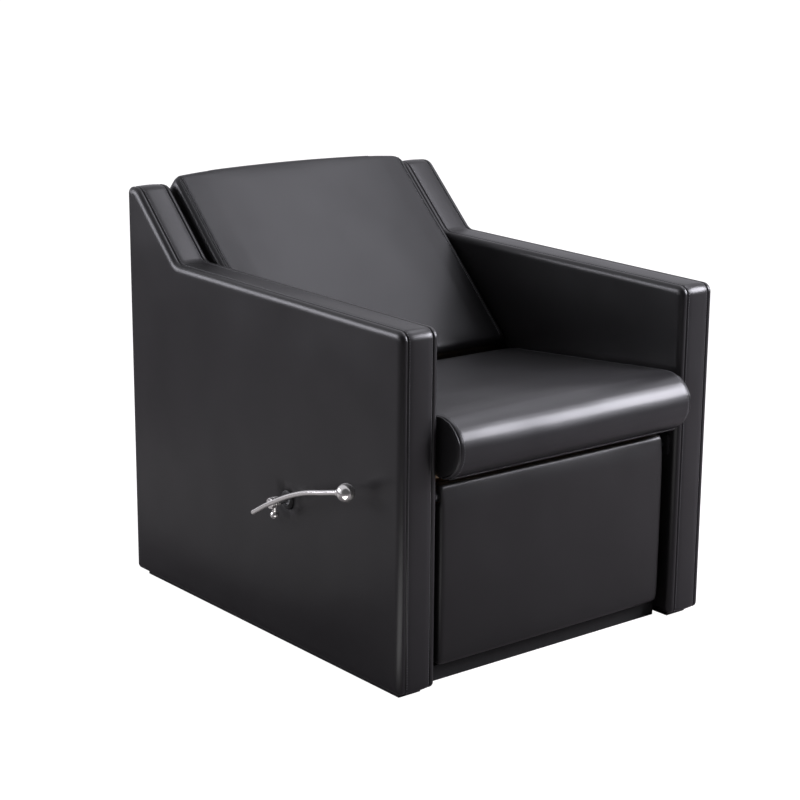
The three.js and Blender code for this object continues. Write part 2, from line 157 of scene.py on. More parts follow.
def makePebble():
    # the fine printed grain of leatherette, with a slow change of tone and gloss
    tree, given, out = newGroup(
        "pebbleGrain",
        [
            ("Vector", "NodeSocketVector", None),
            ("Scale", "NodeSocketFloat", 700.0),
            ("Stretch", "NodeSocketFloat", 0.3),
        ],
        [("Height", "NodeSocketFloat"), ("Tone", "NodeSocketFloat"), ("Swell", "NodeSocketFloat")],
    )
    wander = newNode(tree, "ShaderNodeTexNoise", {"Detail": 2.0, "Roughness": 0.5})
    shifted = newNode(tree, "ShaderNodeVectorMath", operation="MULTIPLY_ADD")
    shifted.inputs[1].default_value = (0.0012, 0.0012, 0.0012)
    cells = newNode(tree, "ShaderNodeTexVoronoi", feature="F1")
    pores = newNode(tree, "ShaderNodeTexNoise", {"Detail": 3.0, "Roughness": 0.6})
    poreScale = newNode(tree, "ShaderNodeMath", {1: 2.3}, operation="MULTIPLY")
    total = newNode(tree, "ShaderNodeMath", operation="MULTIPLY_ADD")
    tone = newNode(tree, "ShaderNodeTexNoise", {"Scale": 9.0, "Detail": 4.0, "Roughness": 0.55})
    swell = newNode(tree, "ShaderNodeTexNoise", {"Scale": 5.0, "Detail": 1.5, "Roughness": 0.4})
    join(
        tree,
        (given.outputs["Vector"], wander.inputs["Vector"]),
        (given.outputs["Scale"], wander.inputs["Scale"]),
        (wander.outputs["Color"], shifted.inputs[0]),
        (given.outputs["Vector"], shifted.inputs[2]),
        (shifted.outputs["Vector"], cells.inputs["Vector"]),
        (given.outputs["Scale"], cells.inputs["Scale"]),
        (given.outputs["Scale"], poreScale.inputs[0]),
        (given.outputs["Vector"], pores.inputs["Vector"]),
        (poreScale.outputs["Value"], pores.inputs["Scale"]),
        (pores.outputs["Fac"], total.inputs[0]),
        (given.outputs["Stretch"], total.inputs[1]),
        (cells.outputs["Distance"], total.inputs[2]),
        (given.outputs["Vector"], tone.inputs["Vector"]),
        (given.outputs["Vector"], swell.inputs["Vector"]),
        (total.outputs["Value"], out.inputs["Height"]),
        (tone.outputs["Fac"], out.inputs["Tone"]),
        (swell.outputs["Fac"], out.inputs["Swell"]),
    )
    return tree


def makeScuff():
    # cloudy patches and fine scratches for paint, plastic and metal
    tree, given, out = newGroup(
        "scuffAndCloud",
        [("Vector", "NodeSocketVector", None), ("Scale", "NodeSocketFloat", 60.0)],
        [("Cloud", "NodeSocketFloat"), ("Scratch", "NodeSocketFloat"), ("Speckle", "NodeSocketFloat")],
    )
    cloud = newNode(tree, "ShaderNodeTexNoise", {"Detail": 4.0, "Roughness": 0.6})
    stretched = newNode(tree, "ShaderNodeMapping", {"Scale": (1.0, 9.0, 2.0), "Rotation": (0.4, 0.2, 0.7)})
    lines = newNode(tree, "ShaderNodeTexNoise", {"Detail": 5.0, "Roughness": 0.7})
    lineScale = newNode(tree, "ShaderNodeMath", {1: 6.0}, operation="MULTIPLY")
    dots = newNode(tree, "ShaderNodeTexNoise", {"Detail": 2.0})
    dotScale = newNode(tree, "ShaderNodeMath", {1: 30.0}, operation="MULTIPLY")
    join(
        tree,
        (given.outputs["Vector"], cloud.inputs["Vector"]),
        (given.outputs["Scale"], cloud.inputs["Scale"]),
        (given.outputs["Vector"], stretched.inputs["Vector"]),
        (stretched.outputs["Vector"], lines.inputs["Vector"]),
        (given.outputs["Scale"], lineScale.inputs[0]),
        (lineScale.outputs["Value"], lines.inputs["Scale"]),
        (given.outputs["Vector"], dots.inputs["Vector"]),
        (given.outputs["Scale"], dotScale.inputs[0]),
        (dotScale.outputs["Value"], dots.inputs["Scale"]),
        (cloud.outputs["Fac"], out.inputs["Cloud"]),
        (lines.outputs["Fac"], out.inputs["Scratch"]),
        (dots.outputs["Fac"], out.inputs["Speckle"]),
    )
    return tree


def makeWood():
    # long grain with darker growth lines
    tree, given, out = newGroup(
        "woodFigure",
        [
            ("Vector", "NodeSocketVector", None),
            ("Squeeze", "NodeSocketVector", (1.0, 12.0, 12.0)),
            ("Rings", "NodeSocketFloat", 9.0),
        ],
        [("Tone", "NodeSocketFloat"), ("Fibre", "NodeSocketFloat")],
    )
    along = newNode(tree, "ShaderNodeVectorMath", operation="MULTIPLY")
    rings = newNode(tree, "ShaderNodeTexNoise", {"Detail": 3.0, "Roughness": 0.45, "Distortion": 0.6})
    bands = newNode(tree, "ShaderNodeMath", {1: 14.0}, operation="MULTIPLY")
    wave = newNode(tree, "ShaderNodeMath", operation="SINE")
    tone = newNode(tree, "ShaderNodeMapRange", {"From Min": -1.0, "From Max": 1.0})
    fibre = newNode(tree, "ShaderNodeTexNoise", {"Scale": 160.0, "Detail": 4.0, "Roughness": 0.7})
    join(
        tree,
        (given.outputs["Vector"], along.inputs[0]),
        (given.outputs["Squeeze"], along.inputs[1]),
        (along.outputs["Vector"], rings.inputs["Vector"]),
        (given.outputs["Rings"], rings.inputs["Scale"]),
        (rings.outputs["Fac"], bands.inputs[0]),
        (bands.outputs["Value"], wave.inputs[0]),
        (wave.outputs["Value"], tone.inputs["Value"]),
        (along.outputs["Vector"], fibre.inputs["Vector"]),
        (tone.outputs["Result"], out.inputs["Tone"]),
        (fibre.outputs["Fac"], out.inputs["Fibre"]),
    )
    return tree


pebbleGrain = makePebble()
scuffAndCloud = makeScuff()
woodFigure = makeWood()

# ---- finishes ----


def leather(name, dark, light, gloss, swell=0.5):
    material, tree, shader = newMaterial(
        name,
        {"Base Color": (*dark, 1), "Specular IOR Level": 0.5},
    )
    skin = placeGroup(tree, pebbleGrain, {"Scale": 760.0, "Stretch": 0.35})
    broad = bump(tree, skin.outputs["Swell"], 0.02, swell)
    fine = bump(tree, skin.outputs["Height"], 0.00025, 0.22, broad)
    join(
        tree,
        (mixTone(tree, skin.outputs["Tone"], (*dark, 1), (*light, 1)), shader.inputs["Base Color"]),
        (spread(tree, skin.outputs["Tone"], *gloss), shader.inputs["Roughness"]),
        (fine, shader.inputs["Normal"]),
    )
    return material


def wood(name, dark, light, squeeze, rings, roughness):
    material, tree, shader = newMaterial(name, {"Base Color": (*light, 1)})
    figure = placeGroup(tree, woodFigure, {"Squeeze": squeeze, "Rings": rings})
    join(
        tree,
        (mixTone(tree, figure.outputs["Tone"], (*dark, 1), (*light, 1)), shader.inputs["Base Color"]),
        (spread(tree, figure.outputs["Fibre"], roughness - 0.12, roughness + 0.12), shader.inputs["Roughness"]),
        (bump(tree, figure.outputs["Fibre"], 0.0006, 0.4), shader.inputs["Normal"]),
    )
    return material


def hardFinish(name, dark, light, metallic, roughness, texture, scale, distance, strength):
    material, tree, shader = newMaterial(name, {"Base Color": (*light, 1), "Metallic": metallic})
    wear = placeGroup(tree, scuffAndCloud, {"Scale": scale})
    join(
        tree,
        (mixTone(tree, wear.outputs["Cloud"], (*dark, 1), (*light, 1)), shader.inputs["Base Color"]),
        (spread(tree, wear.outputs["Scratch"], *roughness), shader.inputs["Roughness"]),
        (bump(tree, wear.outputs[texture], distance, strength), shader.inputs["Normal"]),
    )
    return material


armLeather = leather("armLeatherette", (0.0092, 0.0087, 0.0092), (0.0132, 0.0126, 0.0133), (0.31, 0.37), 0.35)
# the seat is the arms' leatherette with a lighter base colour: painted light, a lit copy of the one cover
litSeatLeather = leather("litSeatLeatherette", (0.0115, 0.0111, 0.0120), (0.0165, 0.0160, 0.0172), (0.33, 0.39), 0.35)
# the back, its piping and rear panel use the arms' leatherette with a darker base colour: painted shade, a shaded
# copy
shadedBackLeather = leather("shadedBackLeatherette", (0.0060, 0.0058, 0.0064), (0.0092, 0.0089, 0.0097), (0.36, 0.42), 0.4)
# the leg rest is the arms' leatherette with a darker base colour: painted shade, a shaded copy
shadedLegLeather = leather("shadedLegRestLeatherette", (0.0066, 0.0062, 0.0063), (0.0100, 0.0095, 0.0096), (0.36, 0.42), 0.4)

finishes = {
    "leatherette": armLeather,
    "timber": wood("frameTimber", (0.42, 0.26, 0.13), (0.63, 0.44, 0.25), (10.0, 1.2, 1.2), 5.0, 0.75),
    "plywood": wood("plywoodFace", (0.45, 0.30, 0.17), (0.62, 0.46, 0.29), (1.0, 7.0, 7.0), 7.0, 0.8),
    "black_board": hardFinish(
        "blackBoard", (0.005, 0.005, 0.005), (0.012, 0.012, 0.012), 0.0, (0.55, 0.75), "Speckle", 25.0, 0.0004, 0.3
    ),
    "black_plastic": hardFinish(
        "runnerPlastic", (0.006, 0.006, 0.006), (0.014, 0.014, 0.014), 0.0, (0.45, 0.7), "Speckle", 50.0, 0.0003, 0.4
    ),
    "black_steel": hardFinish(
        "powderCoat", (0.010, 0.010, 0.011), (0.018, 0.018, 0.019), 0.0, (0.38, 0.55), "Speckle", 45.0, 0.0003, 0.5
    ),
    "steel": hardFinish(
        "zincPlate", (0.48, 0.49, 0.50), (0.66, 0.67, 0.68), 1.0, (0.25, 0.42), "Scratch", 40.0, 0.0001, 0.4
    ),
    "nylon": hardFinish(
        "bearingNylon", (0.66, 0.64, 0.58), (0.78, 0.76, 0.70), 0.0, (0.42, 0.6), "Speckle", 30.0, 0.0002, 0.3
    ),
    "chrome": hardFinish(
        "polishedChrome", (0.80, 0.785, 0.76), (0.92, 0.90, 0.87), 0.88, (0.07, 0.13), "Scratch", 14.0, 0.00002, 0.12
    ),
}
# black thread given a grey base colour: painted highlight, so the stitches read as bright dashes
threadPaintedHighlight = hardFinish(
    "blackThreadPaintedHighlight", (0.10, 0.10, 0.105), (0.22, 0.22, 0.23), 0.0, (0.22, 0.34), "Scratch", 400.0, 0.0002, 0.5
)

for row in frame["record"]["subparts"]:
    for materialSlot in nodes[row["node"]].material_slots:
        materialSlot.material = finishes[row["material_slot"]]
print("materials made:", len(bpy.data.materials))

# ---- mesh helpers ----


def finishPiece(bm, name, material, body, replaced, sharp=None):
    bmesh.ops.recalc_face_normals(bm, faces=bm.faces[:])
    bmesh.ops.transform(bm, matrix=toFrame, verts=bm.verts[:])
    mesh = bpy.data.meshes.new(name)
    bm.to_mesh(mesh)
    bm.free()
    return settle(mesh, name, material, body, replaced, sharp)


def settle(mesh, name, material, body, replaced, sharp=None):
    mesh.materials.clear()
    mesh.materials.append(material)
    mesh.shade_smooth()
    if sharp:
        mesh.set_sharp_from_angle(angle=math.radians(sharp))
    piece = bpy.data.objects.new(name, mesh)
    scene.collection.objects.link(piece)
    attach(piece, body)
    if replaced:
        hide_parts(*replaced)
    return piece


def roundedFace(bm, corners, x):
    # a side view through corners (y, z, radius), each rounded by an arc
    verts = [bm.verts.new((x, y, z)) for y, z, radius in corners]
    bm.faces.new(verts)
    turns = []
    for i, (y, z, radius) in enumerate(corners):
        here = Vector((y, z))
        before = here - Vector(corners[i - 1][:2])
        after = Vector(corners[(i + 1) % len(corners)][:2]) - here
        turns.append(before.angle(after))
    for vert, turn, (y, z, radius) in zip(verts, turns, corners):
        if radius:
            bmesh.ops.bevel(
                bm,
                geom=[vert],
                offset=radius * math.tan(turn / 2),
                offset_type="OFFSET",
                affect="VERTICES",
                segments=max(4, round(turn / math.radians(9))),
                profile=0.5,
                material=-1,
            )
    bm.faces.ensure_lookup_table()
    return bm.faces[0]


def outlineOf(corners):
    bm = bmesh.new()
    face = roundedFace(bm, corners, 0)
    outline = [Vector((v.co.y, v.co.z)) for v in face.verts]
    bm.free()
    return outline


def insetCorners(corners, reach):
    # the same corners drawn in evenly by reach, for a convex or a hollow corner
    drawn = []
    for i, (y, z, radius) in enumerate(corners):
        here = Vector((y, z))
        before = (here - Vector(corners[i - 1][:2])).normalized()
        after = (Vector(corners[(i + 1) % len(corners)][:2]) - here).normalized()
        turn = before.cross(after)
        inwards = Vector((-before.y, before.x)) + Vector((-after.y, after.x))
        moved = here + inwards * reach / (1 + before.dot(after))
        drawn.append((moved.x, moved.y, max(0.5, radius - reach if turn > 0 else radius + reach)))
    return drawn


def stackRings(bm, corners, profile, closed=False):
    # bridges one outline per (reach, x) of a profile; the first and last are capped unless closed
    rings = []
    for reach, x in profile:
        verts = [bm.verts.new((x, p.x, p.y)) for p in outlineOf(insetCorners(corners, reach))]
        rings.append([bm.edges.new((verts[i - 1], verts[i])) for i in range(len(verts))])
    for a, b in list(zip(rings, rings[1:])) + ([(rings[-1], rings[0])] if closed else []):
        bmesh.ops.bridge_loops(bm, edges=a + b)
    if not closed:
        bmesh.ops.edgeloop_fill(bm, edges=rings[0])
        bmesh.ops.edgeloop_fill(bm, edges=rings[-1])
    bmesh.ops.recalc_face_normals(bm, faces=bm.faces[:])


def extrudeX(bm, faces, distance):
    made = bmesh.ops.extrude_face_region(bm, geom=faces)
    moved = [g for g in made["geom"] if isinstance(g, bmesh.types.BMVert)]
    bmesh.ops.translate(bm, verts=moved, vec=(distance, 0, 0))
    bmesh.ops.recalc_face_normals(bm, faces=bm.faces[:])
    return moved


def bevelEdges(bm, edges, offset, segments):
    return bmesh.ops.bevel(
        bm,
        geom=edges,
        offset=offset,
        offset_type="OFFSET",
        affect="EDGES",
        segments=segments,
        profile=0.5,
        material=-1,
        clamp_overlap=False,
    )


def edgesAt(bm, axis, value, tolerance=0.01):
    return [e for e in bm.edges if all(abs(v.co[axis] - value) < tolerance for v in e.verts)]


def cutGrid(bm, axis, places):
    normal = Vector((0, 0, 0))
    normal[axis] = 1
    for place in places:
        bmesh.ops.bisect_plane(
            bm,
            geom=bm.verts[:] + bm.edges[:] + bm.faces[:],
            dist=0.02,
            plane_co=normal * place,
            plane_no=normal,
        )


def steps(start, end, pitch):
    count = max(1, round((end - start) / pitch))
    return [start + (end - start) * i / count for i in range(1, count)]


def smooth(value, low, high):
    t = min(1, max(0, (value - low) / (high - low)))
    return t * t * (3 - 2 * t)


def outlineReach(y, z, outline):
    # how far a point is from a closed outline
    here = Vector((y, z))
    reaches = []
    for a, b in zip(outline, outline[1:] + outline[:1]):
        run = b - a
        t = min(1, max(0, (here - a).dot(run) / max(run.length_squared, 1e-9)))
        reaches.append((a + run * t - here).length)
    return min(reaches)


def ripple(a, b, seed, size):
    return noise.noise(Vector((a / size, b / size, seed)))


# ---- arms ----

armSkin = {
    "seam": 12.2,  # from a panel's face to the seam beside the boxing strip
    "panel": 9.9,  # how thick the panels are over the timbers
    "roll": 8.5,  # how the panels turn over at their edge
    "longRoll": 1.5,  # and how much further the roll reaches down the face
    "seamRoll": 2.0,
    "crown": {"outer": 1.4, "inner": 0.5},
    "grid": 24,
    "boxingThickness": 6,
    "boxingCrown": 1.0,
    "boxingRoll": 2.4,
}
stitch = {"pitch": 4.3, "length": 2.9, "thickness": 1.1, "fromSeam": 2.8}
shaftPlace = {"y": 298, "z": 262, "hole": 9.5, "calm": 40}

armCorners = [
    (0, arm["skirt"], arm["rounding"]["foot"]),
    (arm["depth"], arm["skirt"], arm["rounding"]["foot"]),
    (arm["depth"], arm["crest"], arm["rounding"]["rearTop"]),
    (arm["crestFront"], arm["crest"], arm["rounding"]["crest"]),
    (*arm["knee"], arm["rounding"]["knee"]),
    (0, arm["frontTop"], arm["rounding"]["frontTop"]),
]


def makePanel(side, sign, which):
    outline = outlineOf(armCorners)
    bm = bmesh.new()
    out = sign if which == "outer" else -sign  # the way the panel faces
    face = arm["halfWidth"] if which == "outer" else arm["innerFace"]
    faceX = sign * face
    seamX = faceX - out * armSkin["seam"]
    roll, long, seamRoll = armSkin["roll"], armSkin["longRoll"], armSkin["seamRoll"]
    turns = [math.radians(90) * i / 8 for i in range(9)]
    profile = [(roll * long + 4, 0)]
    profile += [(roll * long * (1 - math.sin(t)), roll * (1 - math.cos(t))) for t in turns]
    for t in turns[::3] + turns[-1:]:
        profile.append((seamRoll * (1 - math.cos(t)), armSkin["seam"] - seamRoll * (1 - math.sin(t))))
    profile += [(10.2, armSkin["seam"]), (10.7, armSkin["panel"])]
    stackRings(bm, armCorners, [(reach, faceX - out * depth) for reach, depth in profile])
    hole = shaftPlace["hole"]
    lined = [shaftPlace["y"] - hole, shaftPlace["y"] + hole]
    cutGrid(bm, 1, lined + steps(0, lined[0], armSkin["grid"]) + steps(lined[1], arm["depth"], armSkin["grid"]))
    lined = [shaftPlace["z"] - hole, shaftPlace["z"] + hole]
    cutGrid(bm, 2, lined + steps(10, lined[0], armSkin["grid"]) + steps(lined[1], arm["crest"], armSkin["grid"]))
    if sign < 0:  # the lever shaft comes out through this arm
        centre = Vector((shaftPlace["y"], shaftPlace["z"]))
        inHole = []
        for f in bm.faces:
            middle = f.calc_center_median()
            if (Vector((middle.y, middle.z)) - centre).length < 2:
                inHole.append(f)
        bmesh.ops.delete(bm, geom=inHole, context="FACES_ONLY")
        rims = [e for e in bm.edges if e.is_boundary]
        bmesh.ops.bridge_loops(bm, edges=rims)
    seed = 3.1 * sign + (1.7 if which == "outer" else 0)
    for v in bm.verts:
        if abs(v.co.x - faceX) > 0.01:
            continue
        reach = outlineReach(v.co.y, v.co.z, outline) - armSkin["roll"] * armSkin["longRoll"]
        fill = smooth(reach, 0, 70)
        lift = armSkin["crown"][which] * fill * (1 + 0.5 * ripple(v.co.y, v.co.z, seed, 170))
        if sign < 0:
            away = (Vector((v.co.y, v.co.z)) - Vector((shaftPlace["y"], shaftPlace["z"]))).length
            lift *= smooth(away, 20, 20 + shaftPlace["calm"])
        v.co.x += out * lift
    name = f"{side}_arm_{which}_cover"
    piece = finishPiece(bm, name, armLeather, "chair_frame", [f"{side}_arm_{which}_panel"])
    return piece


def makeBoxing(side, sign):
    outline = outlineOf(armCorners)
    seam = armSkin["seam"] + 0.3
    seams = sorted([sign * (arm["innerFace"] + seam), sign * (arm["halfWidth"] - seam)])
    bm = bmesh.new()
    roll, thick = armSkin["boxingRoll"], armSkin["boxingThickness"]
    turns = [math.radians(90) * i / 4 for i in range(5)]
    profile = [(thick, seams[0])]
    profile += [(roll * (1 - math.sin(t)), seams[0] + roll * (1 - math.cos(t))) for t in turns]
    profile += [(roll * (1 - math.cos(t)), seams[1] - roll * (1 - math.sin(t))) for t in turns]
    profile += [(thick, seams[1])]
    stackRings(bm, armCorners, profile, closed=True)
    skirt = arm["skirt"] + thick + 1
    underneath = [f for f in bm.faces if f.calc_perimeter() > 1000 and all(v.co.z < skirt for v in f.verts)]
    bmesh.ops.delete(bm, geom=underneath, context="FACES")
    bmesh.ops.holes_fill(bm, edges=[e for e in bm.edges if e.is_boundary])
    bmesh.ops.recalc_face_normals(bm, faces=bm.faces[:])
    cutGrid(bm, 0, steps(seams[0] + 3.5, seams[1] - 3.5, 8))
    cutGrid(bm, 1, steps(20, arm["knee"][0] - 30, 18))
    cutGrid(bm, 2, steps(25, arm["frontTop"] - 20, 18))
    bm.normal_update()
    centre = sum(seams) / 2
    half = (seams[1] - seams[0]) / 2
    for v in bm.verts:
        across = abs(v.co.x - centre) / half
        reach = outlineReach(v.co.y, v.co.z, outline)
        if reach < 0.05 and across < 0.95 and v.co.z > arm["skirt"] + 1:
            wander = 0.35 * ripple(v.co.y + v.co.z, v.co.x, 8.5 + sign, 60)
            v.co += v.normal * (armSkin["boxingCrown"] + wander) * (1 - across**2)
    piece = finishPiece(bm, f"{side}_arm_boxing_strip", armLeather, "chair_frame", [f"{side}_arm_boxing"])
    return piece


def makeStitch():
    bm = bmesh.new()
    bmesh.ops.create_uvsphere(bm, u_segments=5, v_segments=4, radius=0.5)
    size = (stitch["length"], stitch["thickness"], stitch["thickness"])
    bmesh.ops.scale(bm, vec=size, verts=bm.verts[:])
    mesh = bpy.data.meshes.new("stitch")
    bm.to_mesh(mesh)
    bm.free()
    return mesh


oneStitch = makeStitch()


def sewRow(bm, places):
    # one small rounded stitch at each (point, along, up)
    for point, along, up in places:
        turned = Matrix((along, up.cross(along).normalized(), up)).transposed().to_4x4()
        sewn = oneStitch.copy()
        sewn.transform(Matrix.Translation(point) @ turned)
        bm.from_mesh(sewn)
        bpy.data.meshes.remove(sewn)


def stationsAlong(path, pitch):
    # evenly spaced points on an open path, with their directions
    stations = []
    carried = pitch / 2
    for a, b in zip(path, path[1:]):
        run = b - a
        length = run.length
        if length < 1e-6:
            continue
        while carried < length:
            stations.append((a + run * (carried / length), run / length))
            carried += pitch
        carried -= length
    return stations


def sewArm(side, sign):
    outline = outlineOf(armCorners)
    start = min(range(len(outline)), key=lambda i: (outline[i] - Vector((0, arm["skirt"] + 9))).length)
    ring = outline[start:] + outline[:start]
    if ring[1].y < ring[-1].y:
        ring = [ring[0]] + ring[:0:-1]
    path = [p for p in ring if p.y > arm["skirt"] + 1]
    bm = bmesh.new()
    seam = armSkin["seam"] + 0.3
    for seamX, inwards in ((arm["innerFace"] + seam, 1), (arm["halfWidth"] - seam, -1)):
        x = sign * (seamX + inwards * stitch["fromSeam"])
        places = []
        for point, along in stationsAlong(path, stitch["pitch"]):
            up = Vector((0, -along.y, along.x))
            spot = Vector((x, point.x, point.y))
            if outlineReach(point.x + up.y * 3, point.y + up.z * 3, outline) < 2.5:
                up = -up
            inside = Vector((0, 330, 300)) - spot
            if up.dot(inside) > 0 and point.y < 560:
                up = -up
            if point.y >= 560 and up.z < 0 and abs(along.y) < 0.9:
                up = -up
            places.append((spot + up * 0.12, Vector((0, along.x, along.y)), up))
        sewRow(bm, places)
    return finishPiece(bm, f"{side}_arm_topstitch", threadPaintedHighlight, "chair_frame", [])


for side, sign in (("right", -1), ("left", 1)):
    for which in ("outer", "inner"):
        makePanel(side, sign, which)
    makeBoxing(side, sign)
    sewArm(side, sign)
print("arms covered and stitched")

# ---- stuffed pieces ----


def remeshed(bm, name, voxel):
    bmesh.ops.recalc_face_normals(bm, faces=bm.faces[:])
    bmesh.ops.transform(bm, matrix=toFrame, verts=bm.verts[:])
    mesh = bpy.data.meshes.new(name)
    bm.to_mesh(mesh)
    bm.free()
    block = bpy.data.objects.new(name, mesh)
    scene.collection.objects.link(block)
    even = block.modifiers.new("even", "REMESH")
    even.mode = "VOXEL"
    even.voxel_size = voxel
    depsgraph = bpy.context.evaluated_depsgraph_get()
    fine = bpy.data.meshes.new_from_object(block.evaluated_get(depsgraph))
    block.modifiers.clear()
    block.data = fine
    return block


def evened(heights, edges, passes):
    # spreads the swelling out, as a taut cover does
    for _ in range(passes):
        sums = [0.0] * len(heights)
        counts = [0] * len(heights)
        for a, b in edges:
            sums[a] += heights[b]
            sums[b] += heights[a]
            counts[a] += 1
            counts[b] += 1
        heights = [(h + total / max(1, n)) / 2 for h, total, n in zip(heights, sums, counts)]
    return heights


def stuff(bm, name, made, held):
    # remesh, blow up with cloth pressure, cap the movement and subdivide once
    # held(point) is 0 where the cover is free and 1 where it is sewn or rests on its board
    block = remeshed(bm, name, made["voxel"] / 1000)
    rest = [v.co.copy() for v in block.data.vertices]
    grips = [held(toChair @ p) for p in rest]
    group = block.vertex_groups.new(name="sewn")
    for i, grip in enumerate(grips):
        if grip > 0:
            group.add([i], grip, "REPLACE")
    cloth = block.modifiers.new("stuffing", "CLOTH")
    rules = cloth.settings
    rules.quality = 6
    rules.mass = 0.25
    rules.tension_stiffness = made["stretch"]
    rules.compression_stiffness = made["stretch"]
    rules.shear_stiffness = made["stretch"] / 2
    rules.bending_stiffness = made["bend"]
    rules.use_pressure = True
    rules.uniform_pressure_force = made["pressure"]
    rules.vertex_group_mass = "sewn"
    rules.effector_weights.gravity = 0
    cloth.collision_settings.use_collision = False
    cloth.point_cache.frame_start = 1
    cloth.point_cache.frame_end = made["frames"]
    for f in range(1, made["frames"] + 1):
        scene.frame_set(f)
    depsgraph = bpy.context.evaluated_depsgraph_get()
    swollen = block.evaluated_get(depsgraph).to_mesh()
    normals = [v.normal.copy() for v in block.data.vertices]
    heights = [max(-0.0004, (v.co - p).dot(n)) for v, p, n in zip(swollen.vertices, rest, normals)]
    block.evaluated_get(depsgraph).to_mesh_clear()
    block.modifiers.clear()
    scene.frame_set(1)
    cap = made["cap"] / 1000
    heights = evened(heights, [tuple(e.vertices) for e in block.data.edges], made["taut"])
    for v, p, normal, height, grip in zip(block.data.vertices, rest, normals, heights, grips):
        v.co = p + normal * cap * math.tanh(height / cap) * (1 - grip)
    soft = block.modifiers.new("soft", "SUBSURF")
    soft.levels = soft.render_levels = 1
    depsgraph = bpy.context.evaluated_depsgraph_get()
    mesh = bpy.data.meshes.new_from_object(block.evaluated_get(depsgraph))
    bpy.data.objects.remove(block)
    mesh.name = name
    print(name, "stuffed,", len(mesh.polygons), "faces")
    return mesh


def surfaceOf(mesh):
    return BVHTree.FromPolygons([v.co for v in mesh.vertices], [p.vertices for p in mesh.polygons])


def layOn(tree, points, aim):
    # the points dropped on the surface towards aim(point), in the chair's own frame, with the normals there
    laid = []
    for point in points:
        start = toFrame @ point
        direction = (toFrame @ aim(point)) - start
        hit, normal, index, distance = tree.ray_cast(start, direction.normalized())
        if hit:
            laid.append((toChair @ hit, normal.normalized()))
    return laid


def sewOn(name, rows, body):
    bm = bmesh.new()
    for laid in rows:
        path = [p for p, n in laid]
        places = []
        for point, along in stationsAlong(path, stitch["pitch"]):
            nearest = min(laid, key=lambda pair: (pair[0] - point).length_squared)
            up = (nearest[1] - along * nearest[1].dot(along)).normalized()
            places.append((point + up * 0.1, along, up))
        sewRow(bm, places)
    return finishPiece(bm, name, threadPaintedHighlight, body, [])


def roundCurve(name, radius, resolution):
    curve = bpy.data.curves.new(name, "CURVE")
    curve.dimensions = "3D"
    curve.bevel_depth = radius
    curve.bevel_resolution = resolution
    curve.use_fill_caps = True
    return curve


def addCurve(bm, curve):
    # adds the curve's skin, with its caps closed, to a bmesh
    holder = bpy.data.objects.new(curve.name, curve)
    scene.collection.objects.link(holder)
    depsgraph = bpy.context.evaluated_depsgraph_get()
    bm.from_mesh(bpy.data.meshes.new_from_object(holder.evaluated_get(depsgraph)))
    bmesh.ops.remove_doubles(bm, verts=bm.verts[:], dist=0.005)
    bpy.data.objects.remove(holder)


def pipeMesh(bm, laid, radius, sink):
    # a round cord along laid points, sunk a little into the cover
    points = [p + n * (radius - sink) for p, n in laid]
    curve = roundCurve("pipe", radius, 2)
    spline = curve.splines.new("POLY")
    spline.points.add(len(points) - 1)
    for slotPoint, p in zip(spline.points, points):
        slotPoint.co = (*p, 1)
    addCurve(bm, curve)


# ---- seat ----

seat = {
    "noseY": 12,
    "noseZ": 402,
    "radius": 55,
    "halfWidth": 256,
    "rearY": 422,
    "rearTop": 418,
    "boardTop": 359.6,
    "step": 24.5,
    "slack": 2.5,  # drawn this much smaller, because the stuffing swells it
    "voxel": 6,
    "pressure": 4.0,
    "stretch": 40,
    "bend": 4,
    "frames": 20,
    "cap": 6,
    "taut": 30,
    "piping": 1.7,
    "secondSeam": 9,
}


